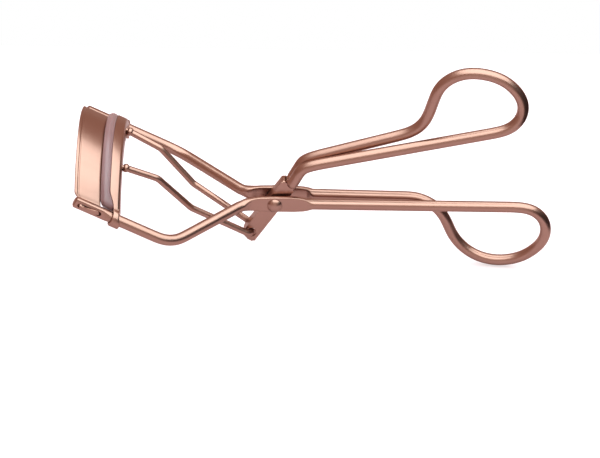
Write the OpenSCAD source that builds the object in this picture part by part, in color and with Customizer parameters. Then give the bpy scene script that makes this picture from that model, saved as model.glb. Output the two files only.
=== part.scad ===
// Eyelash curler: two bent wires, a sliding jaw with a silicone pad, and two push rods.
// Millimetres. The origin is the centre of the pivot rivet. +X runs back to the finger
// loops, +Z is up and Y is the pivot axis, with the near side at -Y.

/* [Wires] */
// Diameter of the frame wire
frame_wire_d = 2.5; // [2.3:0.1:2.6]
// Diameter of the lever wire
lever_wire_d = 2.6; // [2.4:0.1:2.7]
// Diameter of the push rods
push_wire_d = 1.5; // [1.3:0.1:1.6]

/* [Jaws] */
// Thickness of the fixed jaw plate
plate_t = 0.9; // [0.7:0.1:1.0]
// Sheet thickness of the moving jaw
jaw_t = 0.55; // [0.45:0.05:0.65]
// Outside thickness of the moving jaw, measured across the lash line
jaw_w = 3.5; // [3.3:0.1:3.7]
// Closed gap between the silicone pad and the fixed plate
closed_gap = 0.15; // [0.1:0.05:0.4]
// How far the pad stands above and below the jaw's walls
pad_lip = 0.1; // [0.05:0.05:0.2]

/* [Pivot] */
// Diameter of the rivet's shank
rivet_d = 2.2; // [1.8:0.1:2.4]
// Diameter of the rivet's heads
rivet_head_d = 3.5; // [3.2:0.1:3.8]
// Thickness of the flattened wire at the pivot
flat_t = 1.1; // [0.9:0.1:1.2]
// Diameter of the hook holes in the yoke
hook_hole_d = 2.4; // [2.3:0.1:2.6]

/* [Hidden] */
$fn = 64;
tiny = 0.01;
big = 200;
joint_lap = 0.2;       // how far a straight length of wire runs into a bend
joint_step = 0.02;     // how much thicker a bend is, in radius

// Slide rods: both run forward and up from the bends at [bend_x, +-rod_y, 0].
slide_angle = 27.5;
rod_y = 18.3;
bend_x = -22.5;
round_end = 16.6;      // the round wire stops here, measured along the rod from the bend
rod_end = 24.0;        // end of the flattened tip
tip_t = 1.6;           // thickness of the flattened tip
tip_h = 2.6;           // height of the flattened tip
slot_from = 17.3;      // slot for the fixed plate's tab, along the rod
slot_to = 23.1;
slot_h = 1.15;

// Both jaws are bent around one axis that runs parallel to the slide rods.
arc_r = 24.5;          // outside radius of the fixed plate
arc_drop = 17;         // depth of the arc's axis below the rods
mid_r = arc_r - plate_t / 2;

// Fixed plate: cut by upright planes.
plate_front_x = -43.8;
plate_back_x = -38.15;
tab_from = 17.9;
tab_to = 22.9;
tab_out = 0.35;        // how far the tab's peened end stands out of the slot

// Moving jaw: a channel that is open towards the fixed plate.
jaw_front_x = -36;
jaw_back_x = -33.8;
channel_half_angle = 42.5;
strap_front_x = -35.2;
ring_bore_d = frame_wire_d + 0.2;
ring_d = ring_bore_d + 1.3;
ring_from = 13.0;      // the ring along the rod, from the bend
ring_to = 14.8;
stem_gap = 0.05;
stem_back_x = -34.9;
pad_half_angle = 43.8;
pocket_d = 2.0;

// Push rods: the front end turns in the jaw's back wall, the hook turns in the yoke.
push_front = [-34.1, 7.5, 13.2];
push_bend_a = [-26, 6.05, 9.1];
push_bend_b = [-18.7, 4.85, 0.45];
hook_y = 2.35;
hook_tip_y = 0.3;
neck_d = 0.9;
neck_hole_d = 1.25;
collar_d = 2.0;
collar_at = 1.6;       // distance from the pivot point to the collar's centre
head_d = 1.3;
head_at = 1.25;

// Yoke: a channel that leans back by yoke_lean from upright, with the hook holes below.
yoke_lean = 33;
yoke_half_w = 1.4;
yoke_t = 0.6;
yoke_front = -1.65;
yoke_back = 1.95;
yoke_bottom = -12.1;
yoke_top = 5.9;
hook_r = 10;          // distance from the rivet to the hook holes
bore_play = 0.05;

// Flattened wire at the pivot, inside faces at +-flat_in.
flat_in = 1.87;
flat_out = flat_in + flat_t;
rivet_dome = 0.9;

// Lever wire: the legs' ends sit on the yoke's top and narrow to flat tangs inside it.
leg_y = 1.35;
leg_end = [4.0, leg_y, 5.2];
tang_t = 0.75;
tang_gap = 0.05;

// Wire routes: [x, y, z, bend radius] at each corner.
function front_route(side) = [
    [-4.7, side * 2.55, 0, 0],
    [-7.0, side * 2.55, 0, 5],
    [bend_x, side * rod_y, 0, 7],
    concat(on_rod(round_end, side), [0])
];
lower_loop_route = [
    [7.2, -2.0, 0, 0],
    [61.1, -1.9, 0, 6],
    [61.4, -1.2, -9.6, 7.2],
    [56.1, -0.4, -15.0, 9.2],
    [45.3, 0.5, -17.6, 11],
    [40.0, 1.4, -9.8, 6.2],
    [36.6, 1.9, -0.3, 9.3],
    [7.2, 2.0, 0, 0]
];
upper_loop_route = [
    [leg_end[0], -leg_y, leg_end[2], 0],
    [6.3, -leg_y, 9.6, 4.5],
    [52.8, -1.3, 20.4, 5.8],
    [56.8, -0.8, 26.2, 5.9],
    [50.9, -0.2, 33.3, 9.5],
    [41.8, 0.3, 34.9, 9],
    [36.4, 0.8, 30.6, 7.5],
    [33.1, 1.3, 18.4, 7.3],
    [6.5, leg_y, 10.0, 4.5],
    [leg_end[0], leg_y, leg_end[2], 0]
];
hook = [-hook_r * sin(yoke_lean), hook_y, -hook_r * cos(yoke_lean)];
push_route = [
    concat(push_front, [0]),
    concat(push_bend_a, [3]),
    concat(push_bend_b, [3]),
    concat(hook, [1.3]),
    [hook[0], hook_tip_y, hook[2], 0]
];
push_wire_start = push_front - (collar_at + joint_lap) * unit(push_front - push_bend_a);

// A point on a slide rod's centreline, a distance forward of the bend.
function on_rod(along, side) =
    [bend_x - along * cos(slide_angle), side * rod_y, along * sin(slide_angle)];

function xyz(row) = [row[0], row[1], row[2]];
function unit(v) = v / norm(v);
function turn(a, b, c) = acos(unit(b - a) * unit(c - b));
function cut_back(route, i) =
    route[i][3] * tan(turn(xyz(route[i - 1]), xyz(route[i]), xyz(route[i + 1])) / 2);

// Start and end of the straight that leaves corner i.
function straight_from(route, i) =
    i == 0 ? xyz(route[0])
    : xyz(route[i]) + cut_back(route, i) * unit(xyz(route[i + 1]) - xyz(route[i]));
function straight_to(route, i) =
    i == len(route) - 1 ? xyz(route[i])
    : xyz(route[i]) - cut_back(route, i) * unit(xyz(route[i]) - xyz(route[i - 1]));

module straight(from, to, d) {
    v = to - from;
    translate(from)
        rotate([0, acos(v[2] / norm(v)), atan2(v[1], v[0])])
            cylinder(h = norm(v), d = d);
}

// The bend at corner b, on the way from a to c.
module bend(a, b, c, r, d) {
    angle = turn(a, b, c);
    along = unit(b - a);
    to_centre = unit(unit(c - b) - along * (unit(c - b) * along));
    start = b - along * r * tan(angle / 2);
    centre = start + to_centre * r;
    out = -to_centre;
    axis = cross(out, along);
    multmatrix([
        [out[0], along[0], axis[0], centre[0]],
        [out[1], along[1], axis[1], centre[1]],
        [out[2], along[2], axis[2], centre[2]],
        [0, 0, 0, 1]
    ])
        rotate_extrude(angle = angle)
            translate([r, 0])
                circle(d = d);
}

// Each straight reaches a little way into the bends, which are a hair thicker.
module bent_wire(route, d) {
    last = len(route) - 1;
    for (i = [0 : last - 1]) {
        from = straight_from(route, i);
        to = straight_to(route, i + 1);
        way = unit(to - from) * joint_lap;
        straight(i == 0 ? from : from - way, i == last - 1 ? to : to + way, d);
    }
    for (i = [1 : last - 1])
        bend(xyz(route[i - 1]), xyz(route[i]), xyz(route[i + 1]), route[i][3],
             d + 2 * joint_step);
}

// A round end where a wire runs into a flattened length.
module wire_end(at, d)
    translate(xyz(at))
        sphere(d = d + 2 * joint_step);

// Local X runs back along the rods, local Z stands square to them, from the bends.
module rod_frame()
    translate([bend_x, 0, 0])
        rotate([0, slide_angle, 0])
            children();

// A slab between two upright planes across X.
module between_x(front, back)
    translate([front, -big / 2, -big / 2])
        cube([back - front, big, big]);

// A curved band along the rods, cut off radially at half_angle each side of the top.
module arc_band(inner, outer, half_angle) {
    reach = 2 * outer;
    rod_frame()
        translate([-40, 0, -arc_drop])
            rotate([90, 0, 90])
                linear_extrude(60)
                    intersection() {
                        difference() {
                            circle(outer, $fn = 180);
                            circle(inner, $fn = 180);
                        }
                        polygon([
                            [0, 0],
                            [reach * sin(half_angle), reach * cos(half_angle)],
                            [0, reach * 2],
                            [-reach * sin(half_angle), reach * cos(half_angle)]
                        ]);
                    }
}

// The flattened length of wire that carries the rivet, as seen from the side.
module pivot_flat(side) {
    inside = side > 0 ? flat_in : -flat_out;
    translate([0, inside + flat_t, 0])
        rotate([90, 0, 0])
            linear_extrude(flat_t)
                polygon([
                    [-6.9, -1.0], [-5.6, -1.6], [-3.2, -1.95], [0, -2.1], [3.6, -2.15],
                    [5.6, -2.0], [6.8, -1.65], [7.9, -1.1], [8.3, -1.0],
                    [8.3, 1.0], [7.8, 1.1], [6.6, 1.45], [4.6, 1.7], [0, 1.75],
                    [-3.2, 1.7], [-5.4, 1.4], [-6.9, 1.0]
                ]);
}

// The flattened end of a slide rod, with the slot for the fixed plate's tab.
module slotted_tip(side) {
    rod_frame()
        difference() {
            intersection() {
                translate([-rod_end, side * rod_y, 0])
                    rotate([0, 90, 0])
                        cylinder(h = rod_end - round_end + 0.4, d = tip_h);
                translate([-rod_end, side * rod_y - tip_t / 2, -tip_h])
                    cube([rod_end, tip_t, 2 * tip_h]);
            }
            translate([-slot_to, side * rod_y - tip_h, -slot_h / 2])
                cube([slot_to - slot_from, 2 * tip_h, slot_h]);
        }
}

module frame_wire()
    color("#c98f74") {
        difference() {
            union() {
                bent_wire(lower_loop_route, frame_wire_d);
                for (side = [-1, 1]) {
                    bent_wire(front_route(side), frame_wire_d);
                    wire_end(front_route(side)[0], frame_wire_d);
                    pivot_flat(side);
                    slotted_tip(side);
                }
                wire_end(lower_loop_route[0], frame_wire_d);
                wire_end(lower_loop_route[7], frame_wire_d);
            }
            rotate([90, 0, 0]) cylinder(h = 20, d = rivet_d + 0.04, center = true);
        }
    }

module fixed_plate()
    color("#d9a083") {
        intersection() {
            arc_band(arc_r - plate_t, arc_r, 60);
            between_x(plate_front_x, plate_back_x);
            rod_frame()
                translate([-40, -rod_y + tip_t / 2 + tiny, -1.1])
                    cube([80, 2 * (rod_y - tip_t / 2 - tiny), 40]);
        }
        for (side = [-1, 1])
            rod_frame()
                translate([-tab_to, side * (rod_y - 0.4) - 1.6, -slot_h / 2])
                    cube([tab_to - tab_from, 3.2 - 0.4 + tab_out, slot_h]);
    }

module rivet()
    color("#b98068") {
        rotate([90, 0, 0]) cylinder(h = 2 * flat_out + 0.2, d = rivet_d, center = true);
        for (side = [-1, 1])
            rivet_head(side);
    }

// A domed head whose flat side lies on the flattened wire.
module rivet_head(side) {
    r = (pow(rivet_head_d / 2, 2) + pow(rivet_dome, 2)) / (2 * rivet_dome);
    base = side * (flat_out + tiny);
    intersection() {
        translate([0, base - side * (r - rivet_dome), 0]) sphere(r);
        translate([-5, side > 0 ? base : base - 5, -5]) cube([10, 5, 10]);
    }
}

// The yoke's own frame: local Z along the channel, local X square to it, towards the back.
module yoke_frame()
    rotate([0, yoke_lean, 0])
        children();

module yoke_side_outline()
    polygon([
        [yoke_front, yoke_top - 0.4], [yoke_front, yoke_bottom + 0.9],
        [yoke_front + 0.3, yoke_bottom + 0.3], [yoke_front + 0.9, yoke_bottom],
        [yoke_back - 0.5, yoke_bottom], [yoke_back - 0.1, yoke_bottom + 0.3],
        [yoke_back, yoke_bottom + 0.8], [yoke_back, yoke_top - 0.5],
        [yoke_back - 0.4, yoke_top - 0.2], [yoke_front + 0.4, yoke_top]
    ]);

module yoke()
    color("#b57c66") {
        difference() {
            yoke_frame()
                difference() {
                    translate([0, yoke_half_w, 0])
                        rotate([90, 0, 0])
                            linear_extrude(2 * yoke_half_w)
                                yoke_side_outline();
                    translate([yoke_front + yoke_t, -yoke_half_w + yoke_t, -20])
                        cube([20, 2 * (yoke_half_w - yoke_t), 40]);
                    rotate([90, 0, 0])
                        cylinder(h = 20, d = rivet_d + 2 * bore_play, center = true);
                    translate([0, 0, -hook_r])
                        rotate([90, 0, 0])
                            cylinder(h = 20, d = hook_hole_d, center = true);
                }
            for (side = [-1, 1])
                translate([leg_end[0], side * leg_y, leg_end[2]]) {
                    sphere(d = lever_wire_d + 2 * joint_step + tiny);
                    leg_direction() cylinder(h = 6, d = lever_wire_d + tiny);
                }
        }
    }

module leg_direction()
    rotate([0, atan2(6.4 - leg_end[0], 9.8 - leg_end[2]), 0])
        children();

module lever_wire()
    color("#cf957a") {
        bent_wire(upper_loop_route, lever_wire_d);
        for (side = [-1, 1]) {
            wire_end([leg_end[0], side * leg_y, leg_end[2]], lever_wire_d);
            lever_tang(side);
        }
    }

// The flattened end of a leg, brazed between the yoke's walls above the rivet.
module lever_tang(side)
    yoke_frame()
        translate([-0.9, side > 0 ? tang_gap : -tang_gap - tang_t, 2.4])
            cube([2.2, tang_t, 4.2]);

module moving_jaw()
    color("#d49a7e") {
        outer = mid_r + jaw_w / 2;
        inner = mid_r - jaw_w / 2;
        difference() {
            intersection() {
                arc_band(inner, outer, channel_half_angle);
                between_x(jaw_front_x, jaw_back_x);
            }
            intersection() {
                arc_band(inner + jaw_t, outer - jaw_t, 60);
                between_x(jaw_front_x - 5, jaw_back_x - jaw_t);
            }
            for (side = [-1, 1])
                push_front_frame(side)
                    cylinder(h = 6, d = neck_hole_d, center = true);
        }
        intersection() {
            arc_band(outer - jaw_t, outer, 90);
            between_x(strap_front_x, jaw_back_x);
            rod_frame() translate([-40, -40, 0]) cube([80, 80, 40]);
            rod_frame() jaw_strap_limits();
        }
        for (side = [-1, 1])
            slide_ring(side);
    }

// Keeps the straps clear of the bore of the rings.
module jaw_strap_limits()
    difference() {
        translate([-40, -40, -10]) cube([80, 80, 60]);
        for (side = [-1, 1])
            translate([-40, side * rod_y, 0])
                rotate([0, 90, 0])
                    cylinder(h = 80, d = ring_bore_d);
    }

module slide_ring(side)
    rod_frame()
        translate([-ring_to, side * rod_y, 0])
            rotate([0, 90, 0])
                difference() {
                    cylinder(h = ring_to - ring_from, d = ring_d);
                    translate([0, 0, -1]) cylinder(h = 10, d = ring_bore_d);
                }

// Local Z runs forward along the push rod's first length, from its pivot point.
module push_front_frame(side) {
    v = push_front - push_bend_a;
    translate([push_front[0], side * push_front[1], push_front[2]])
        rotate([0, acos(v[2] / norm(v)), atan2(side * v[1], v[0])])
            children();
}

module silicone_pad()
    color("#cdb0b4") {
        difference() {
            union() {
                intersection() {
                    arc_band(mid_r - jaw_w / 2 + jaw_t + stem_gap,
                             mid_r + jaw_w / 2 - jaw_t - stem_gap, channel_half_angle);
                    between_x(jaw_front_x - 1, stem_back_x);
                }
                intersection() {
                    arc_band(mid_r - jaw_w / 2 - pad_lip,
                             mid_r + jaw_w / 2 + pad_lip, pad_half_angle);
                    between_x(plate_back_x + closed_gap, jaw_front_x - stem_gap);
                }
            }
            for (side = [-1, 1])
                push_front_frame(side)
                    cylinder(h = head_at + head_d / 2 + 0.5, d = pocket_d);
        }
    }

module push_rod(side)
    color("#c08770") {
        mirror([0, side > 0 ? 0 : 1, 0])
            bent_wire(concat([concat(push_wire_start, [0])],
                             [for (i = [1 : 4]) push_route[i]]), push_wire_d);
        push_front_frame(side) {
            translate([0, 0, -collar_at + joint_lap])
                cylinder(h = collar_at - joint_lap + head_at, d = neck_d);
            translate([0, 0, -collar_at]) sphere(d = collar_d);
            translate([0, 0, head_at]) sphere(d = head_d);
        }
    }

module push_rod_near()
    push_rod(-1);

module push_rod_far()
    push_rod(1);

frame_wire();
fixed_plate();
rivet();
yoke();
lever_wire();
moving_jaw();
silicone_pad();
push_rod_near();
push_rod_far();
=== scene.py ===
import math

import bmesh
import bpy
import numpy as np
from mathutils import Matrix, Vector


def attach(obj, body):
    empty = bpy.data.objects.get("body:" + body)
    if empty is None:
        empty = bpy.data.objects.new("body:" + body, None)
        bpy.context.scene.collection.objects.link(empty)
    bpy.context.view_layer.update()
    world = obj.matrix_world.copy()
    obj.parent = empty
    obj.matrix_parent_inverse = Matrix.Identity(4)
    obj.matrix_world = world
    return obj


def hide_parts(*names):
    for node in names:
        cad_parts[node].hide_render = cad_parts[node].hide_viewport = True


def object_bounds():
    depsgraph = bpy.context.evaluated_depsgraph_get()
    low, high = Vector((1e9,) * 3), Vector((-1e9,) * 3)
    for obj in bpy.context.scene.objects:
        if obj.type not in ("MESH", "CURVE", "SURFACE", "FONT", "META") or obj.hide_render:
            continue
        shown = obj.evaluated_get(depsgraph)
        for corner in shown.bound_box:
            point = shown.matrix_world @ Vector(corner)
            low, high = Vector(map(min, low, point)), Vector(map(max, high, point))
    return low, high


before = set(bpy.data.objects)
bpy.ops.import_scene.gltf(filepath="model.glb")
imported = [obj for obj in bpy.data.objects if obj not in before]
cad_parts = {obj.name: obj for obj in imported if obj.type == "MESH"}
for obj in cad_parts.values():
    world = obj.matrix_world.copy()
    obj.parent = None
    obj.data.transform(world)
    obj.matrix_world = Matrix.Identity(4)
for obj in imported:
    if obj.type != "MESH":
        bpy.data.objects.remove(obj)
cad_low, cad_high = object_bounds()

MM = 0.001
SIDES = (-1, 1)

# Sizes in millimetres, in the tool's own frame: the origin is the middle of the pivot, +X
# runs back to the finger loops and the near side is -Y. Most are the CAD source's own.
FRAME_WIRE_R = 1.25
LEVER_WIRE_R = 1.3
PUSH_WIRE_R = 0.75
SLIDE_ANGLE = math.radians(27.5)
ROD_Y = 18.3
BEND_X = -22.5
ROD_END = 24.0
ARC_DROP = 17.0
PLATE_R = 24.05
PLATE_T = 0.9
PLATE_FRONT_X = -43.8
PLATE_BACK_X = -38.15
TAB_FROM = 17.7
TAB_TO = 22.7
SLOT_FROM = 17.3
SLOT_TO = 23.1
SLOT_H = 1.15
JAW_OUT_R = 25.8
JAW_IN_R = 22.3
JAW_T = 0.55
JAW_FRONT_X = -36.0
JAW_BACK_X = -33.8
STRAP_FRONT_X = -35.2
RING_R = 1.68
RING_FROM = 12.6
RING_TO = 14.95
RING_TOP_ANGLE = math.radians(84)
RING_TURN = math.radians(300)
SHOULDER_RISE = 0.35
SHOULDER_ANGLE = math.radians(33)
SHOULDER_SPREAD = math.radians(6.5)
PAD_CROWN = 1.68
PAD_FRONT_HALF = 1.0
PAD_STEM_HALF = 1.12
CHANNEL_HALF_ANGLE = math.radians(42.5)
PAD_HALF_ANGLE = math.radians(43.8)
YOKE_LEAN = math.radians(33)
FLAT_Y = 2.42
FLAT_T = 1.1
HOOK_R = 10.0
PUSH_FRONT = np.array([-34.1, 7.5, 13.2])
HOOK = np.array([-HOOK_R * math.sin(YOKE_LEAN), 2.35, -HOOK_R * math.cos(YOKE_LEAN)])
PUSH_BEND_A = np.array([-26, 6.05, 9.1])
PUSH_BEND_B = np.array([-18.7, 4.85, 0.45])
HEAD_AT = 1.25
HEAD_R = 0.63
NECK_R = 0.44
NECK_CLEARANCE = 0.16
BEAD_AT = 1.25
BEAD_R = 0.98
BEAD_HALF_LENGTH = 0.72
HOOK_HOLE_R = 1.2
RIVET_HEAD_R = 1.75
RIVET_DOME = 0.86
LEG_Y = 1.35
LEG_END = (4.0, 5.2)
YOKE_FRONT = -1.65
YOKE_BACK = 1.95
YOKE_TOP = 5.9
YOKE_BOTTOM = -12.1
YOKE_HALF_W = 1.4
YOKE_T = 0.6

# Corners of the two finger loops, each with its bend radius.
LOWER_LOOP = [
    [61.1, -1.9, 0, 6],
    [61.4, -1.2, -9.6, 7.2],
    [56.1, -0.4, -15.0, 9.2],
    [45.3, 0.5, -17.6, 11],
    [40.0, 1.4, -9.8, 6.2],
    [36.6, 1.9, -0.3, 9.3]]
UPPER_LOOP = [
    [6.3, -LEG_Y, 9.6, 4.5],
    [52.8, -1.3, 20.4, 5.8],
    [56.8, -0.8, 26.2, 5.9],
    [50.9, -0.2, 33.3, 9.5],
    [41.8, 0.3, 34.9, 9],
    [36.4, 0.8, 30.6, 7.5],
    [33.1, 1.3, 18.4, 7.3],
    [6.5, LEG_Y, 10.0, 4.5]]
EASING_ROUNDS = 26

# The legs of the lower loop start at the pivot flats' ends, this far to each side.
FLAT_END_X = 7.4
LEG_STEP = 2.0
# How far the pivot flats reach above and below the wire's middle line, at each x.
FLAT_TOP_X = [-7.4, -5.4, -3.2, 0, 4.6, 6.4, 7.6, 8.4]
FLAT_TOP = [1.25, 1.45, 1.68, 1.75, 1.7, 1.55, 1.3, 1.25]
FLAT_BOTTOM_X = [-7.4, -5.6, -3.2, 0, 3.6, 5.6, 6.9, 7.7, 8.4]
FLAT_BOTTOM = [1.25, 1.6, 1.95, 2.1, 2.15, 2.0, 1.65, 1.35, 1.25]
TIP_HALF_W = 0.8
TIP_HALF_H = 1.3

# Colours, light and camera. The floor's and the softbox's sizes are in metres.
METAL_DARK = (0.37, 0.198, 0.15, 1)
METAL_LIGHT = (0.41, 0.228, 0.175, 1)
METAL_EDGE_TINT = (0.78, 0.66, 0.6, 1)
PAD_DARK = (0.2, 0.102, 0.103, 1)
PAD_LIGHT = (0.26, 0.14, 0.14, 1)
FLOOR_COLOUR = (0.56, 0.45, 0.47, 1)
FLOOR_GLOW = (0.6, 0.6, 0.6, 1)
FLOOR_HALF_SIZE = (0.1, 0.11)
FLOOR_CENTRE = (-0.02, -0.02)
FLOOR_DROP = 0.0003
SOFTBOX_LEVEL = (2.5, 3.15, 3.3)
SOFTBOX_PLACE = (0.18, -0.11, 0.5)
SOFTBOX_SIZE = (0.96, 1.06)
ROOM_COLOUR = (0.56, 0.36, 0.3, 1)
FRONT_COLOUR = (0.85, 0.75, 0.72, 1)
FRONT_WAY = (0.0, -1.0, -0.1)
SHADE_COLOUR = (0.05, 0.035, 0.04, 1)
SHADE_WAY = (0.93, -0.2, -0.3)
BACKDROP_COLOUR = (1.0, 1.0, 1.0, 1)
CAMERA_AZIMUTH = math.radians(1.6)
CAMERA_ELEVATION = math.radians(35)
CAMERA_LENS = 239.2
CAMERA_OFFSET = (5.598, -6.885, 900)


# ---------------------------------------------------------------- geometry helpers

def unit(v):
    """The vector at length 1."""
    return v / np.linalg.norm(v)


def on_rod(along, side):
    """A point on a slide rod's centreline, a distance forward of its bend."""
    return [BEND_X - along * math.cos(SLIDE_ANGLE), side * ROD_Y, along * math.sin(SLIDE_ANGLE)]


def smooth_step(value, low, high):
    """0 below low and 1 above high, with a smooth rise between them."""
    t = np.clip((np.asarray(value, float) - low) / (high - low), 0, 1)
    return t * t * (3 - 2 * t)


def rounded_route(route, step=0.5):
    """Points along a wire route. Each corner [x, y, z, bend radius] becomes an arc."""
    corners = [np.array(c[:3], float) for c in route]
    points = [corners[0]]
    for i in range(1, len(corners) - 1):
        into = unit(corners[i] - corners[i - 1])
        out = unit(corners[i + 1] - corners[i])
        angle = math.acos(float(np.clip(into @ out, -1, 1)))
        radius = route[i][3]
        cut = radius * math.tan(angle / 2)
        start = corners[i] - into * cut
        to_centre = unit(out - into * (out @ into))
        centre = start + to_centre * radius
        count = max(3, int(math.ceil(angle * radius / step)))
        for k in range(count + 1):
            a = angle * k / count
            points.append(centre + radius * (into * math.sin(a) - to_centre * math.cos(a)))
    points.append(corners[-1])
    return resample(np.array(points), step)


def resample(points, step):
    """The same line with extra points, no further apart than step."""
    made = [points[0]]
    for a, b in zip(points[:-1], points[1:]):
        gap = np.linalg.norm(b - a)
        if gap < 1e-6:
            continue
        count = max(1, int(math.ceil(gap / step)))
        for k in range(1, count + 1):
            made.append(a + (b - a) * k / count)
    return np.array(made)


def eased(points, weight, rounds):
    """The line with its bends drawn out a little, where weight is above 0."""
    made = points.copy()
    for _ in range(rounds):
        middle = (made[:-2] + made[2:]) / 2
        made[1:-1] += 0.5 * weight[1:-1, None] * (middle - made[1:-1])
    return made


def tangents(points):
    """The direction of the line at each of its points."""
    ahead = np.gradient(points, axis=0)
    return ahead / np.linalg.norm(ahead, axis=1)[:, None]


def lengths(points):
    """The distance along the line from its start to each of its points."""
    gaps = np.linalg.norm(np.diff(points, axis=0), axis=1)
    return np.concatenate([[0], np.cumsum(gaps)])


def carried_frames(points):
    """Side and up directions carried along the line without twist."""
    ahead = tangents(points)
    side = unit(np.cross(ahead[0], [0.3, 0.2, 1.0]))
    sides = []
    for t in ahead:
        side = unit(side - t * (side @ t))
        sides.append(side)
    sides = np.array(sides)
    return sides, np.cross(ahead, sides)


def level_frames(points):
    """Side directions that keep as close to the pivot's axis as the line allows."""
    ahead = tangents(points)
    axis = np.array([0.0, 1.0, 0.0])
    sides = axis - ahead * (ahead @ axis)[:, None]
    sides /= np.linalg.norm(sides, axis=1)[:, None]
    return sides, np.cross(sides, ahead)


def tube_mesh(name, rings, along):
    """A closed skin over rings of points, with a UV map that runs along and around it."""
    count, around = rings.shape[:2]
    bm = bmesh.new()
    uv = bm.loops.layers.uv.new("UVMap")
    rows = [[bm.verts.new(Vector(p * MM)) for p in ring] for ring in rings]
    for i in range(count - 1):
        for j in range(around):
            k = (j + 1) % around
            face = bm.faces.new((rows[i][j], rows[i + 1][j], rows[i + 1][k], rows[i][k]))
            face.smooth = True
            spots = ((i, j), (i + 1, j), (i + 1, j + 1), (i, j + 1))
            for loop, (a, b) in zip(face.loops, spots):
                loop[uv].uv = (along[a] / 10.0, b / around)
    for row, place in ((rows[0], along[0]), (rows[-1], along[-1])):
        centre = bm.verts.new(sum((v.co for v in row), Vector()) / around)
        for j in range(around):
            face = bm.faces.new((row[j], row[(j + 1) % around], centre))
            face.smooth = True
            for loop in face.loops:
                loop[uv].uv = (place / 10.0, 0.5)
    bmesh.ops.recalc_face_normals(bm, faces=bm.faces)
    return as_object(name, bm)


def as_object(name, bm):
    """Puts the mesh in the scene as an object, and frees it."""
    mesh = bpy.data.meshes.new(name)
    bm.to_mesh(mesh)
    bm.free()
    made = bpy.data.objects.new(name, mesh)
    bpy.context.scene.collection.objects.link(made)
    return made


def soften(piece, angle=38):
    """Smooth shading with hard edges where faces meet sharply."""
    for face in piece.data.polygons:
        face.use_smooth = True
    piece.data.set_sharp_from_angle(angle=math.radians(angle))


def ring_of(centre, side, up, half_side, half_up, power=2.0, half_down=None, around=32):
    """One closed ring: round at power 2, nearer a rounded rectangle at higher powers."""
    a = np.linspace(0, 2 * math.pi, around, endpoint=False) + math.pi / around
    c, s = np.cos(a), np.sin(a)
    x = np.sign(c) * np.abs(c) ** (2 / power)
    y = np.sign(s) * np.abs(s) ** (2 / power)
    half_down = half_up if half_down is None else half_down
    tall = np.where(y > 0, half_up, half_down)
    return centre + np.outer(x * half_side, side) + np.outer(y * tall, up)


def cut(piece, cutters):
    """Takes the cutters out of the piece, and removes them."""
    for cutter in cutters:
        boolean = piece.modifiers.new("cut", "BOOLEAN")
        boolean.object = cutter
        boolean.operation = "DIFFERENCE"
        boolean.solver = "EXACT"
    bake_modifiers(piece)
    for cutter in cutters:
        bpy.data.objects.remove(cutter)


def bake_modifiers(piece):
    """Turns the piece's modifiers into plain mesh."""
    graph = bpy.context.evaluated_depsgraph_get()
    graph.update()
    mesh = bpy.data.meshes.new_from_object(piece.evaluated_get(graph))
    piece.modifiers.clear()
    piece.data = mesh


def join(name, pieces):
    """One object from several, which are removed."""
    bm = bmesh.new()
    for piece in pieces:
        bm.from_mesh(piece.data)
        bpy.data.objects.remove(piece)
    return as_object(name, bm)


def prism(name, outline, depth_from, depth_to, place, bevel=0.0, segments=3):
    """An outline in two dimensions, given depth, and put in place by a function."""
    bm = bmesh.new()
    bm.loops.layers.uv.new("UVMap")
    low = [bm.verts.new((x, depth_from, z)) for x, z in outline]
    high = [bm.verts.new((x, depth_to, z)) for x, z in outline]
    count = len(outline)
    bm.faces.new(low)
    bm.faces.new(high[::-1])
    for i in range(count):
        k = (i + 1) % count
        bm.faces.new((low[i], high[i], high[k], low[k]))
    if bevel:
        rims = [e for e in bm.edges if abs(e.verts[0].co.y - e.verts[1].co.y) < 1e-9]
        bmesh.ops.bevel(bm, geom=rims, offset=bevel, segments=segments, profile=0.5,
                        affect="EDGES", clamp_overlap=True)
    for v in bm.verts:
        v.co = Vector(place(np.array(v.co))) * MM
    bmesh.ops.recalc_face_normals(bm, faces=bm.faces)
    return as_object(name, bm)


def round_corners(corners, segments=5):
    """A closed outline whose corners (x, y, radius) are rounded, each with segments steps."""
    points = [np.array(c[:2], float) for c in corners]
    made = []
    count = len(points)
    for i, p in enumerate(points):
        before, after = points[i - 1], points[(i + 1) % count]
        radius = corners[i][2]
        into, out = unit(p - before), unit(after - p)
        angle = math.acos(float(np.clip(into @ out, -1, 1)))
        reach = radius * math.tan(angle / 2)
        start = p - into * reach
        to_centre = unit(out - into * (out @ into))
        centre = start + to_centre * radius
        for k in range(segments + 1):
            a = angle * k / segments
            made.append(centre + radius * (into * math.sin(a) - to_centre * math.cos(a)))
    return np.array(made)


# ---------------------------------------------------------------- frames of the tool

def rod_place(x, across, height):
    """A point given by its x, its distance from the middle plane and its height square
    to the slide rods."""
    along = (x - BEND_X - height * math.sin(SLIDE_ANGLE)) / math.cos(SLIDE_ANGLE)
    return np.array([x, across, height * math.cos(SLIDE_ANGLE) - along * math.sin(SLIDE_ANGLE)])


def rod_point(along, across, height):
    """A point in the slide rods' own frame: along runs back from the bends."""
    return np.array([
        BEND_X + along * math.cos(SLIDE_ANGLE) + height * math.sin(SLIDE_ANGLE),
        across,
        height * math.cos(SLIDE_ANGLE) - along * math.sin(SLIDE_ANGLE)])


def arc_place(x, radius, angle):
    """A point on the jaws' arc: its x, its distance from the arc's axis and its angle."""
    r = radius + shoulder(angle)
    return rod_place(x, r * math.sin(angle), r * math.cos(angle) - ARC_DROP)


def yoke_place(p):
    """From the yoke's own frame, whose z runs along the channel."""
    return np.array([
        p[0] * math.cos(YOKE_LEAN) + p[2] * math.sin(YOKE_LEAN),
        p[1],
        -p[0] * math.sin(YOKE_LEAN) + p[2] * math.cos(YOKE_LEAN)])


# ---------------------------------------------------------------- materials

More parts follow.
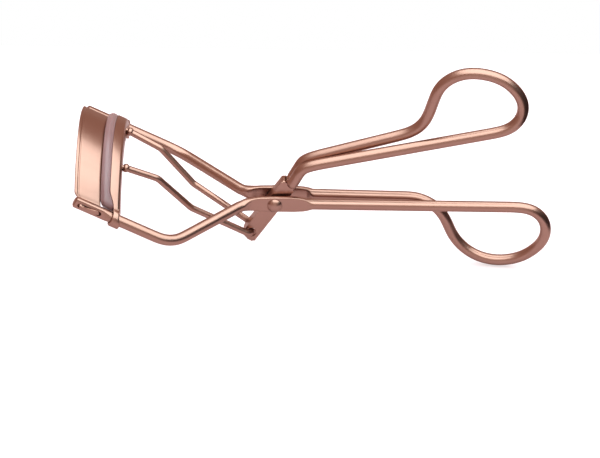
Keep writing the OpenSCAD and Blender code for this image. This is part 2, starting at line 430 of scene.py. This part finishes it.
def node_of(tree, kind, **values):
    """A new shader node, with some of its settings."""
    made = tree.nodes.new(kind)
    for name, value in values.items():
        setattr(made, name, value)
    return made


def satin_metal(name, roughness, stretch, use_uv=True):
    """Satin rose-gold plate: drawn streaks, a fine grain, and faint cloudy colour."""
    material = bpy.data.materials.new(name)
    material.use_nodes = True
    tree = material.node_tree
    shader = tree.nodes["Principled BSDF"]
    shader.inputs["Metallic"].default_value = 1.0
    shader.inputs["Specular Tint"].default_value = METAL_EDGE_TINT
    shader.inputs["Coat Weight"].default_value = 0.3
    shader.inputs["Coat Roughness"].default_value = 0.22
    coords = node_of(tree, "ShaderNodeTexCoord")
    source = coords.outputs["UV" if use_uv else "Object"]

    stretched = node_of(tree, "ShaderNodeMapping")
    stretched.inputs["Scale"].default_value = stretch
    tree.links.new(source, stretched.inputs["Vector"])
    streaks = node_of(tree, "ShaderNodeTexNoise")
    streaks.inputs["Scale"].default_value = 6.0
    streaks.inputs["Detail"].default_value = 5.0
    tree.links.new(stretched.outputs["Vector"], streaks.inputs["Vector"])

    clouds = node_of(tree, "ShaderNodeTexNoise")
    clouds.inputs["Scale"].default_value = 160.0
    clouds.inputs["Detail"].default_value = 3.0
    tree.links.new(coords.outputs["Object"], clouds.inputs["Vector"])

    grain = node_of(tree, "ShaderNodeTexNoise")
    grain.inputs["Scale"].default_value = 3500.0
    grain.inputs["Detail"].default_value = 2.0
    tree.links.new(coords.outputs["Object"], grain.inputs["Vector"])

    colour = node_of(tree, "ShaderNodeMixRGB")
    colour.inputs["Color1"].default_value = METAL_DARK
    colour.inputs["Color2"].default_value = METAL_LIGHT
    tree.links.new(clouds.outputs["Fac"], colour.inputs["Fac"])
    tree.links.new(colour.outputs["Color"], shader.inputs["Base Color"])

    rough = node_of(tree, "ShaderNodeMapRange")
    rough.inputs["From Min"].default_value = 0.3
    rough.inputs["From Max"].default_value = 0.7
    rough.inputs["To Min"].default_value = roughness - 0.02
    rough.inputs["To Max"].default_value = roughness + 0.03
    tree.links.new(streaks.outputs["Fac"], rough.inputs["Value"])
    tree.links.new(rough.outputs["Result"], shader.inputs["Roughness"])

    height = node_of(tree, "ShaderNodeMath", operation="ADD")
    tree.links.new(streaks.outputs["Fac"], height.inputs[0])
    tree.links.new(grain.outputs["Fac"], height.inputs[1])
    bumps = node_of(tree, "ShaderNodeBump")
    bumps.inputs["Strength"].default_value = 0.02
    bumps.inputs["Distance"].default_value = 0.00005
    tree.links.new(height.outputs["Value"], bumps.inputs["Height"])
    tree.links.new(bumps.outputs["Normal"], shader.inputs["Normal"])
    return material


def silicone(name):
    """Soft mauve silicone: lets light a little way in, with a faint bloom on the skin."""
    material = bpy.data.materials.new(name)
    material.use_nodes = True
    tree = material.node_tree
    shader = tree.nodes["Principled BSDF"]
    shader.inputs["Subsurface Weight"].default_value = 0.6
    shader.inputs["Subsurface Radius"].default_value = (1.0, 0.6, 0.6)
    shader.inputs["Subsurface Scale"].default_value = 0.0012
    shader.inputs["Coat Weight"].default_value = 0.35
    shader.inputs["Coat Roughness"].default_value = 0.18
    coords = node_of(tree, "ShaderNodeTexCoord")
    clouds = node_of(tree, "ShaderNodeTexNoise")
    clouds.inputs["Scale"].default_value = 220.0
    clouds.inputs["Detail"].default_value = 4.0
    tree.links.new(coords.outputs["Object"], clouds.inputs["Vector"])
    colour = node_of(tree, "ShaderNodeMixRGB")
    colour.inputs["Color1"].default_value = PAD_DARK
    colour.inputs["Color2"].default_value = PAD_LIGHT
    tree.links.new(clouds.outputs["Fac"], colour.inputs["Fac"])
    tree.links.new(colour.outputs["Color"], shader.inputs["Base Color"])
    rough = node_of(tree, "ShaderNodeMapRange")
    rough.inputs["To Min"].default_value = 0.34
    rough.inputs["To Max"].default_value = 0.48
    tree.links.new(clouds.outputs["Fac"], rough.inputs["Value"])
    tree.links.new(rough.outputs["Result"], shader.inputs["Roughness"])
    grain = node_of(tree, "ShaderNodeTexNoise")
    grain.inputs["Scale"].default_value = 2500.0
    tree.links.new(coords.outputs["Object"], grain.inputs["Vector"])
    bumps = node_of(tree, "ShaderNodeBump")
    bumps.inputs["Strength"].default_value = 0.08
    bumps.inputs["Distance"].default_value = 0.00005
    tree.links.new(grain.outputs["Fac"], bumps.inputs["Height"])
    tree.links.new(bumps.outputs["Normal"], shader.inputs["Normal"])
    return material


wire_metal = satin_metal("rose_gold_wire", 0.31, stretch=(0.6, 16.0, 1.0))
sheet_metal = satin_metal("rose_gold_sheet", 0.3, stretch=(1.5, 10.0, 1.0))
small_metal = satin_metal("rose_gold_small", 0.3, stretch=(60.0, 60.0, 300.0), use_uv=False)
pad_silicone = silicone("mauve_silicone")


def finish_piece(piece, body, node, material):
    """Gives the piece its material, puts it on the body it rides on, and hides the CAD part it
    stands in for.
    """
    piece.data.materials.clear()
    piece.data.materials.append(material)
    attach(piece, body)
    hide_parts(node)


# ---------------------------------------------------------------- frame wire

def arm_route(side):
    """Corners of an arm and its slide rod, from the pivot out."""
    return [[-7.0, side * 2.55, 0, 5], [BEND_X, side * ROD_Y, 0, 7], on_rod(ROD_END, side)]


def frame_path():
    """The wire's middle line, from the near rod's tip round the loop to the far rod's tip."""
    near_leg, far_leg = [FLAT_END_X, -LEG_STEP, 0, 0], [FLAT_END_X, LEG_STEP, 0, 0]
    first = rounded_route(arm_route(-1)[::-1] + [near_leg], 0.35)
    loop = rounded_route([near_leg] + LOWER_LOOP + [far_leg], 0.5)
    last = rounded_route([far_leg] + arm_route(1), 0.35)
    path = np.concatenate([first[:-1], loop[:-1], last])
    weight = smooth_step(path[:, 0], 28, 36) + 0.6 * smooth_step(-path[:, 0], 9, 12)
    return eased(path, np.minimum(weight, 1), EASING_ROUNDS)


def end_round(distance, reach):
    """How much of the section is left near a rounded end."""
    t = np.clip(distance / reach, 0, 1)
    return math.sqrt(max(1e-4, 1 - (1 - t) ** 2))


def frame_ring(point, side, up, from_end):
    """The wire's section: round, but flattened at the pivot and at the slotted tips."""
    x, y, z = point
    half_side, half_up, half_down, power = (FRAME_WIRE_R,) * 3 + (2.0,)
    centre = point.copy()
    if -9 < x < 10 and abs(z) < 2:
        flat = float(smooth_step(x, -7.4, -4.0) * (1 - smooth_step(x, 7.0, 8.3)))
        half_side += (FLAT_T / 2 - half_side) * flat
        half_up = np.interp(x, FLAT_TOP_X, FLAT_TOP)
        half_down = np.interp(x, FLAT_BOTTOM_X, FLAT_BOTTOM)
        power += 4.5 * flat
        centre[1] += (math.copysign(FLAT_Y, y) - y) * flat
    if from_end < 9.5:
        tip = 1 - float(smooth_step(from_end, 6.6, 9.0))
        half_side += (TIP_HALF_W - half_side) * tip
        half_up += (TIP_HALF_H - half_up) * tip
        half_down = half_up
        power += 1.6 * tip
        left = end_round(from_end, 0.45)
        half_side *= 0.7 + 0.3 * left
        half_up *= 0.62 + 0.38 * left
        half_down = half_up
    return ring_of(centre, side, up, half_side, half_up, power, half_down)


def slot_cutter(side):
    """A slot with round ends through a slide rod's tip."""
    half = SLOT_H / 2
    mid_from, mid_to = -SLOT_TO + half, -SLOT_FROM - half
    turn = np.linspace(0, math.pi, 9)
    left = [(mid_from - half * math.sin(a), half * math.cos(a)) for a in turn]
    right = [(mid_to + half * math.sin(a), -half * math.cos(a)) for a in turn]
    return prism("slot_cutter", left + right, side * ROD_Y - 2, side * ROD_Y + 2,
                 lambda p: rod_point(*p))


def make_frame_wire():
    """The lower finger loop, pivot flats, arms and slide rods, all one wire."""
    path = frame_path()
    sides, ups = level_frames(path)
    along = lengths(path)
    total = along[-1]
    rings = [frame_ring(path[i], sides[i], ups[i], min(along[i], total - along[i]))
             for i in range(len(path))]
    piece = tube_mesh("frame_wire_body", np.array(rings), along)
    cut(piece, [slot_cutter(side) for side in SIDES])
    soften(piece, 32)
    return piece


# ---------------------------------------------------------------- bent sheets

def sheet_rings(line, front, back, half_t, edge_front, edge_back, groove=0.0, tilt=None):
    """Sections of a bent sheet: line holds (across, height) points of its middle, and
    front and back give its edges' x at each point and height. A groove of this depth runs
    behind the front edge, and tilt is the slope along x of each section."""
    ahead = tangents(line)
    normals = np.stack([-ahead[:, 1], ahead[:, 0]], axis=1)
    rings = []
    for i, (middle, normal) in enumerate(zip(line, normals)):
        f, b = front(i, middle[1]), back(i, middle[1])
        corners = [(f, half_t, edge_front), (b, half_t, edge_back),
                   (b, -half_t, edge_back), (f, -half_t, edge_front)]
        if groove:
            bed = half_t - groove
            corners[1:1] = [(f + 0.62, half_t, 0.1), (f + 0.72, bed, 0.05),
                            (f + 0.95, bed, 0.05), (f + 1.05, half_t, 0.1)]
        section = round_corners(corners)
        ring = []
        slope = 0.0 if tilt is None else tilt[i]
        for x, n in section:
            across, height = middle + n * normal
            ring.append(rod_place(x, across, height + slope * (x - (f + b) / 2)))
        rings.append(ring)
    return np.array(rings)


def curve_2d(start, start_way, end, end_way, pull, count=10):
    """A smooth bend from one point and direction to another."""
    a, d = np.array(start, float), np.array(end, float)
    b = a + np.array(start_way) * pull
    c = d - np.array(end_way) * pull
    made = []
    for t in np.linspace(0, 1, count + 1):
        made.append((1 - t) ** 3 * a + 3 * (1 - t) ** 2 * t * b
                    + 3 * (1 - t) * t * t * c + t ** 3 * d)
    return made


def shoulder(angle):
    """How far the jaws' arc stands out where it turns down to the rods."""
    return SHOULDER_RISE * math.exp(-((abs(angle) - SHOULDER_ANGLE) / SHOULDER_SPREAD) ** 2)


def arc_line(radius, to_angle, count):
    """Points (across, height) of the jaws' arc, from the middle plane to an angle."""
    made = []
    for a in np.linspace(0, to_angle, count):
        r = radius + shoulder(a)
        made.append(np.array([r * math.sin(a), r * math.cos(a) - ARC_DROP]))
    return made


def both_sides(half):
    """The far half of a line and its mirror image, as one line from near to far."""
    half = np.array(half)
    near = half[:0:-1] * [-1, 1]
    return np.concatenate([near, half])


def make_fixed_plate():
    """The upper jaw: an arc that bends out into a tab at each end."""
    bend_at = math.radians(41)
    half = arc_line(PLATE_R, bend_at, 40)
    way = (math.cos(bend_at), -math.sin(bend_at))
    half += curve_2d(half[-1], way, (17.5, 0.0), (1.0, 0.0), 0.8)[1:]
    tip_face = ROD_Y + TIP_HALF_W
    half += [np.array([tip_face + past, 0.0]) for past in (-0.9, -0.1, 0.05, 0.2, 0.35, 0.45)]
    line = both_sides(half)
    narrow = smooth_step(np.abs(line[:, 0]), 16.2, 17.3)
    twist = 0.14 * smooth_step(np.abs(line[:, 0]), tip_face - 0.1, tip_face + 0.1)
    past_tip = np.clip((np.abs(line[:, 0]) - tip_face) / 0.5, 0, 1)
    trim = 1.2 * past_tip ** 2  # the peened end narrows like a lens

    def front(i, height):
        tab = BEND_X - TAB_TO * math.cos(SLIDE_ANGLE) + height * math.sin(SLIDE_ANGLE)
        return PLATE_FRONT_X + (tab - PLATE_FRONT_X) * narrow[i] + trim[i]

    def back(i, height):
        tab = BEND_X - TAB_FROM * math.cos(SLIDE_ANGLE) + height * math.sin(SLIDE_ANGLE)
        return PLATE_BACK_X + (tab - PLATE_BACK_X) * narrow[i] - trim[i]

    rings = sheet_rings(line, front, back, PLATE_T / 2, 0.3, 0.14, 0.09, twist)
    piece = tube_mesh("fixed_plate_body", rings, lengths(line))
    soften(piece, 50)
    return piece


def channel_front(angle):
    """The channel's front edge, which draws back towards the straps."""
    back = smooth_step(abs(angle), math.radians(35), math.radians(42))
    return JAW_FRONT_X + (STRAP_FRONT_X - JAW_FRONT_X) * float(back)


def make_jaw_channel():
    """The channel that holds the pad, with rounded corners at its web."""
    b, t = JAW_BACK_X, JAW_T
    outer, inner = JAW_OUT_R, JAW_IN_R
    angles = np.linspace(-CHANNEL_HALF_ANGLE, CHANNEL_HALF_ANGLE, 101)
    rings = []
    for a in angles:
        f = channel_front(a)
        section = round_corners([
            (f, outer, 0.16), (b, outer, 0.5), (b, inner, 0.5), (f, inner, 0.16),
            (f, inner + t, 0.1), (b - t, inner + t, 0.2), (b - t, outer - t, 0.2),
            (f, outer - t, 0.1)])
        rings.append([arc_place(x, r, a) for x, r in section])
    return tube_mesh("jaw_channel", np.array(rings), angles * JAW_OUT_R)


def make_jaw_strap(side):
    """The strap that runs on from the channel's outer wall and curls round the rod."""
    middle_r = JAW_OUT_R - JAW_T / 2
    overlap = 0.004  # radians that the strap runs into the channel
    start = CHANNEL_HALF_ANGLE - overlap
    first = np.array([middle_r * math.sin(start), middle_r * math.cos(start) - ARC_DROP])
    way = (math.cos(start), -math.sin(start))
    ring_top = RING_TOP_ANGLE
    top = (ROD_Y + RING_R * math.cos(ring_top), RING_R * math.sin(ring_top))
    line = curve_2d(first, way, top, (math.sin(ring_top), -math.cos(ring_top)), 0.4, 12)
    for a in np.linspace(ring_top, ring_top - RING_TURN, 44)[1:]:
        line.append(np.array([ROD_Y + RING_R * math.cos(a), RING_R * math.sin(a)]))
    line = np.array(line)
    run = lengths(line)
    curl = smooth_step(run, 0.6, 2.6)
    line[:, 0] *= side

    def edge(i, height, plane, along):
        ring = BEND_X - along * math.cos(SLIDE_ANGLE) + height * math.sin(SLIDE_ANGLE)
        return plane + (ring - plane) * curl[i]

    def front(i, height):
        return edge(i, height, STRAP_FRONT_X + 0.02, RING_TO)

    def back(i, height):
        return min(edge(i, height, JAW_BACK_X - 0.02, RING_FROM), JAW_BACK_X - 0.02)

    rings = sheet_rings(line, front, back, JAW_T / 2 - 0.01, 0.25, 0.25)
    return tube_mesh("jaw_strap", rings, run)


def neck_cutter(side):
    """The hole in the channel's back wall for a push rod's neck."""
    way = unit(PUSH_FRONT - PUSH_BEND_A)
    line = np.array([PUSH_FRONT + way * t for t in (-1.0, -0.3, 0.3, 0.8)]) * [1, side, 1]
    return tube_mesh("neck_cutter", round_rings(line, [NECK_R + NECK_CLEARANCE] * 4),
                     lengths(line))


def make_moving_jaw():
    """The channel for the pad, with a strap to each slide rod."""
    channel = make_jaw_channel()
    cut(channel, [neck_cutter(side) for side in SIDES])
    parts = [channel] + [make_jaw_strap(side) for side in SIDES]
    piece = join("moving_jaw_body", parts)
    soften(piece, 40)
    return piece


def make_silicone_pad():
    """A domed bead with a stem in the channel. Its ends are rounded."""
    crown, inside, face = PAD_CROWN, PAD_STEM_HALF, PAD_FRONT_HALF
    middle = (JAW_OUT_R + JAW_IN_R) / 2
    f = PLATE_BACK_X + 0.05
    angles = np.linspace(-PAD_HALF_ANGLE, PAD_HALF_ANGLE, 121)
    rings = []
    for a in angles:
        from_end = (PAD_HALF_ANGLE - abs(a)) * middle
        left = end_round(from_end, 1.1)
        b = channel_front(a) - 0.02
        stem = JAW_FRONT_X + 1.05
        outline = round_corners([
            (f, face, 0.5), (f + 1.1, crown + 0.12, 1.0), (b, crown - 0.06, 0.15),
            (b, inside, 0.05), (stem, inside, 0.1), (stem, -inside, 0.1),
            (b, -inside, 0.05), (b, -crown + 0.06, 0.15), (f + 1.1, -crown - 0.12, 1.0),
            (f, -face, 0.5)], 6)
        centre_x = JAW_FRONT_X - 0.12
        rings.append([arc_place(centre_x + (x - centre_x) * (0.25 + 0.75 * left),
                                middle + n * (0.3 + 0.7 * left), a) for x, n in outline])
    piece = tube_mesh("silicone_pad_body", np.array(rings), angles * middle)
    soften(piece, 60)
    return piece


# ---------------------------------------------------------------- lever, yoke, rivet

def round_rings(points, radii, around=32):
    """Round sections along a line."""
    sides, ups = carried_frames(points)
    return np.array([ring_of(points[i], sides[i], ups[i], radii[i], radii[i], around=around)
                     for i in range(len(points))])


def with_round_ends(points, radius):
    """The line run on at both ends, and the radii that make each end a half ball."""
    steps = radius * np.sin(np.linspace(math.pi / 2 - 0.05, 0.15, 7))
    head = [points[0] - unit(points[1] - points[0]) * s for s in steps]
    tail = [points[-1] + unit(points[-1] - points[-2]) * s for s in steps[::-1]]
    ends = [math.sqrt(radius ** 2 - s ** 2) for s in steps]
    radii = ends + [radius] * len(points) + ends[::-1]
    return np.concatenate([head, points, tail]), np.array(radii)


def make_lever_wire():
    """The upper finger loop and its legs, with the tangs that hold it in the yoke."""
    near = [LEG_END[0], -LEG_Y, LEG_END[1], 0]
    far = [LEG_END[0], LEG_Y, LEG_END[1], 0]
    path = rounded_route([near] + UPPER_LOOP + [far])
    path = eased(path, smooth_step(path[:, 0], 6, 9), EASING_ROUNDS)
    points, radii = with_round_ends(path, LEVER_WIRE_R)
    wire = tube_mesh("lever_loop", round_rings(points, radii), lengths(points))
    outline = [(-0.9, 2.4), (1.3, 2.4), (1.3, 6.4), (-0.9, 6.4)]
    tangs = [prism("tang", outline, side * 0.06, side * 0.79, yoke_place, 0.1) for side in SIDES]
    piece = join("lever_wire_body", [wire] + tangs)
    soften(piece)
    return piece


def yoke_outline():
    """The yoke from the side, in its own frame, with rounded corners."""
    f, b = YOKE_FRONT, YOKE_BACK
    corners = [
        (f, YOKE_TOP, 0.5), (f, YOKE_BOTTOM, 1.8), (b, YOKE_BOTTOM + 0.1, 0.45),
        (b, YOKE_TOP - 0.5, 0.5)]
    return [tuple(p) for p in round_corners(corners, 8)]


def cylinder_cutter(centre, radius, place):
    """A round bar across the tool, for a hole through both of the yoke's walls."""
    turn = np.linspace(0, 2 * math.pi, 40, endpoint=False)
    outline = [(centre[0] + radius * math.cos(a), centre[1] + radius * math.sin(a)) for a in turn]
    return prism("hole_cutter", outline, -5, 5, place)


def leg_cutter(side):
    """The seat that the lever wire's leg lies in."""
    start = np.array([LEG_END[0], side * LEG_Y, LEG_END[1]])
    way = unit(np.array([6.4 - LEG_END[0], 0, 9.8 - LEG_END[1]]))
    points = resample(np.array([start, start + way * 6]), 0.5)
    points, radii = with_round_ends(points, LEVER_WIRE_R + 0.02)
    return tube_mesh("seat_cutter", round_rings(points, radii), lengths(points))


def make_yoke():
    """A channel open to the back, with the hook holes and the seats for the lever wire."""
    piece = prism("yoke_body", yoke_outline(), -YOKE_HALF_W, YOKE_HALF_W, yoke_place, 0.42, 5)
    f, w = YOKE_FRONT + YOKE_T, YOKE_HALF_W - YOKE_T
    pocket = [(f, -20), (10, -20), (10, 20), (f, 20)]
    cutters = [
        prism("pocket_cutter", pocket, -w, w, yoke_place),
        cylinder_cutter((0, -HOOK_R), HOOK_HOLE_R, yoke_place)]
    cutters += [leg_cutter(side) for side in SIDES]
    cut(piece, cutters)
    soften(piece, 30)
    return piece


def lathe(name, profile, around=48):
    """A piece turned about the pivot's axis: profile holds (along, radius)."""
    turn = np.linspace(0, 2 * math.pi, around, endpoint=False)
    rings = []
    for along, radius in profile:
        rings.append([[radius * math.cos(a), along, radius * math.sin(a)] for a in turn])
    return tube_mesh(name, np.array(rings), np.array([p[0] for p in profile]))


def make_rivet():
    """A shank with a domed head on the outside of each flat."""
    base = FLAT_Y + FLAT_T / 2 + 0.01
    foot_r = RIVET_HEAD_R - 0.06
    ball = (RIVET_HEAD_R ** 2 + RIVET_DOME ** 2) / (2 * RIVET_DOME)
    profile = []
    for t in np.linspace(0.01, 1, 16):
        a = t * math.asin(foot_r / ball)
        profile.append((base + RIVET_DOME - ball + ball * math.cos(a), ball * math.sin(a)))
    profile += [(base + 0.05, RIVET_HEAD_R - 0.02), (base, foot_r), (base, 1.1)]
    profile += [(-along, radius) for along, radius in profile[::-1]]
    piece = lathe("rivet_body", profile)
    soften(piece, 40)
    return piece


# ---------------------------------------------------------------- push rods

def bulge(place, centre, half_length, radius):
    """Radius of a rounded swelling on a rod, or 0 away from it."""
    off = abs(place - centre) / half_length
    return radius * (1 - off ** 2.6) ** (1 / 2.2) if off < 1 else 0.0


def push_radius(place, total):
    """Radius along a push rod from its head: head, neck, bead, wire and a rounded end."""
    bead = HEAD_R + HEAD_AT + BEAD_AT
    if place < HEAD_R:
        return math.sqrt(max(1e-4, HEAD_R ** 2 - (place - HEAD_R) ** 2))
    radius = NECK_R if place < bead else PUSH_WIRE_R
    if place < 2 * HEAD_R:
        radius = max(radius, math.sqrt(max(0.0, HEAD_R ** 2 - (place - HEAD_R) ** 2)))
    radius = max(radius, bulge(place, bead, BEAD_HALF_LENGTH, BEAD_R))
    if total - place < 0.4:
        radius *= end_round(total - place, 0.4)
    return radius


def make_push_rod(name, side):
    """A bent rod: its swaged front end has close rings, and so has its hook's tip."""
    front_length = 5
    way = unit(PUSH_FRONT - PUSH_BEND_A)
    start = PUSH_FRONT + way * (HEAD_AT + HEAD_R)
    tip = HOOK * [1, 0, 1] + [0, 0.3, 0]
    route = [
        [*start, 0], [*PUSH_BEND_A, 3.0], [*PUSH_BEND_B, 3.0], [*HOOK, 1.3], [*tip, 0]]
    points = rounded_route(route, 0.4)
    straight = resample(np.array([start, start - way * front_length]), 0.08)
    bent = points[lengths(points) > front_length + 0.05]
    ending = resample(bent[-2:], 0.05)
    points = np.concatenate([straight, bent[:-1], ending[1:]])
    along = lengths(points)
    points = points * [1, side, 1]
    radii = [push_radius(place, along[-1]) for place in along]
    piece = tube_mesh(name, round_rings(points, radii, 24), along)
    soften(piece, 45)
    return piece


# ---------------------------------------------------------------- build

finish_piece(make_frame_wire(), "frame", "frame_wire", wire_metal)
finish_piece(make_fixed_plate(), "frame", "fixed_plate", sheet_metal)
finish_piece(make_rivet(), "frame", "rivet", small_metal)
finish_piece(make_yoke(), "lever", "yoke", small_metal)
finish_piece(make_lever_wire(), "lever", "lever_wire", wire_metal)
finish_piece(make_moving_jaw(), "jaw", "moving_jaw", sheet_metal)
pad = make_silicone_pad()
finish_piece(pad, "jaw", "silicone_pad", pad_silicone)
for which, side in (("near", -1), ("far", 1)):
    rod = make_push_rod(f"push_rod_{which}_body", side)
    finish_piece(rod, f"{which}_rod", f"push_rod_{which}", wire_metal)


# ---------------------------------------------------------------- floor, light, camera

def plain_floor():
    """A pale floor. It looks whiter to the camera than in the metal's reflections."""
    bm = bmesh.new()
    bmesh.ops.create_grid(bm, x_segments=1, y_segments=1, size=1.0)
    floor = as_object("floor", bm)
    floor.scale = (*FLOOR_HALF_SIZE, 1)
    floor.location = (*FLOOR_CENTRE, cad_low[2] - FLOOR_DROP)
    material = bpy.data.materials.new("pale_floor")
    material.use_nodes = True
    shader = material.node_tree.nodes["Principled BSDF"]
    shader.inputs["Base Color"].default_value = FLOOR_COLOUR
    shader.inputs["Roughness"].default_value = 0.9
    shader.inputs["Specular IOR Level"].default_value = 0.0
    shader.inputs["Emission Color"].default_value = FLOOR_GLOW
    path = node_of(material.node_tree, "ShaderNodeLightPath")
    material.node_tree.links.new(path.outputs["Is Camera Ray"],
                                 shader.inputs["Emission Strength"])
    floor.data.materials.append(material)


def softbox(name, centre, size, level):
    """A broad light that looks straight down. Level is its brightness in each colour."""
    data = bpy.data.lights.new(name, "AREA")
    data.shape = "RECTANGLE"
    data.size, data.size_y = size
    data.energy = max(level) * math.pi * size[0] * size[1]
    data.color = [part / max(level) for part in level]
    light = bpy.data.objects.new(name, data)
    bpy.context.scene.collection.objects.link(light)
    light.location = centre
    light.visible_camera = False


def facing(tree, coords, direction, low, high):
    """1 around a direction of the world, falling softly to 0 away from it."""
    dot = node_of(tree, "ShaderNodeVectorMath", operation="DOT_PRODUCT")
    dot.inputs[1].default_value = Vector(direction).normalized()
    tree.links.new(coords.outputs["Generated"], dot.inputs[0])
    patch = node_of(tree, "ShaderNodeMapRange", interpolation_type="SMOOTHSTEP")
    patch.inputs["From Min"].default_value = low
    patch.inputs["From Max"].default_value = high
    tree.links.new(dot.outputs["Value"], patch.inputs["Value"])
    return patch.outputs["Result"]


def surroundings():
    """A dim warm room, paler in front and dark on the right, and a white backdrop."""
    world = bpy.data.worlds.new("studio")
    world.use_nodes = True
    bpy.context.scene.world = world
    tree = world.node_tree
    back = tree.nodes["Background"]
    coords = node_of(tree, "ShaderNodeTexCoord")
    front = facing(tree, coords, FRONT_WAY, 0.8, 0.97)
    tint = node_of(tree, "ShaderNodeMixRGB")
    tint.inputs["Color1"].default_value = ROOM_COLOUR
    tint.inputs["Color2"].default_value = FRONT_COLOUR
    tree.links.new(front, tint.inputs["Fac"])
    right = facing(tree, coords, SHADE_WAY, 0.35, 0.75)
    shade = node_of(tree, "ShaderNodeMixRGB")
    shade.inputs["Color2"].default_value = SHADE_COLOUR
    tree.links.new(tint.outputs["Color"], shade.inputs["Color1"])
    tree.links.new(right, shade.inputs["Fac"])
    path = node_of(tree, "ShaderNodeLightPath")
    mix = node_of(tree, "ShaderNodeMixRGB")
    mix.inputs["Color2"].default_value = BACKDROP_COLOUR
    tree.links.new(path.outputs["Is Camera Ray"], mix.inputs["Fac"])
    tree.links.new(shade.outputs["Color"], mix.inputs["Color1"])
    tree.links.new(mix.outputs["Color"], back.inputs["Color"])


def photo_camera():
    """A long lens, in front of the tool and above it. Its place is given along its own
    right, up and back directions, from the pivot."""
    azimuth, elevation = CAMERA_AZIMUTH, CAMERA_ELEVATION
    right = Vector((math.cos(azimuth), math.sin(azimuth), 0))
    back = Vector((math.sin(azimuth) * math.cos(elevation),
                   -math.cos(azimuth) * math.cos(elevation), math.sin(elevation)))
    up = back.cross(right)
    data = bpy.data.cameras.new("camera")
    data.sensor_width = 36.0
    data.lens = CAMERA_LENS
    data.clip_start, data.clip_end = 0.05, 50
    camera = bpy.data.objects.new("camera", data)
    bpy.context.scene.collection.objects.link(camera)
    along_right, along_up, along_back = CAMERA_OFFSET
    place = (right * along_right + up * along_up + back * along_back) * MM
    turn = Matrix((right, up, back)).transposed().to_4x4()
    camera.matrix_world = Matrix.Translation(place) @ turn
    bpy.context.scene.camera = camera


plain_floor()
softbox("overhead", SOFTBOX_PLACE, SOFTBOX_SIZE, SOFTBOX_LEVEL)
surroundings()
photo_camera()
bpy.context.scene.view_settings.view_transform = "Standard"
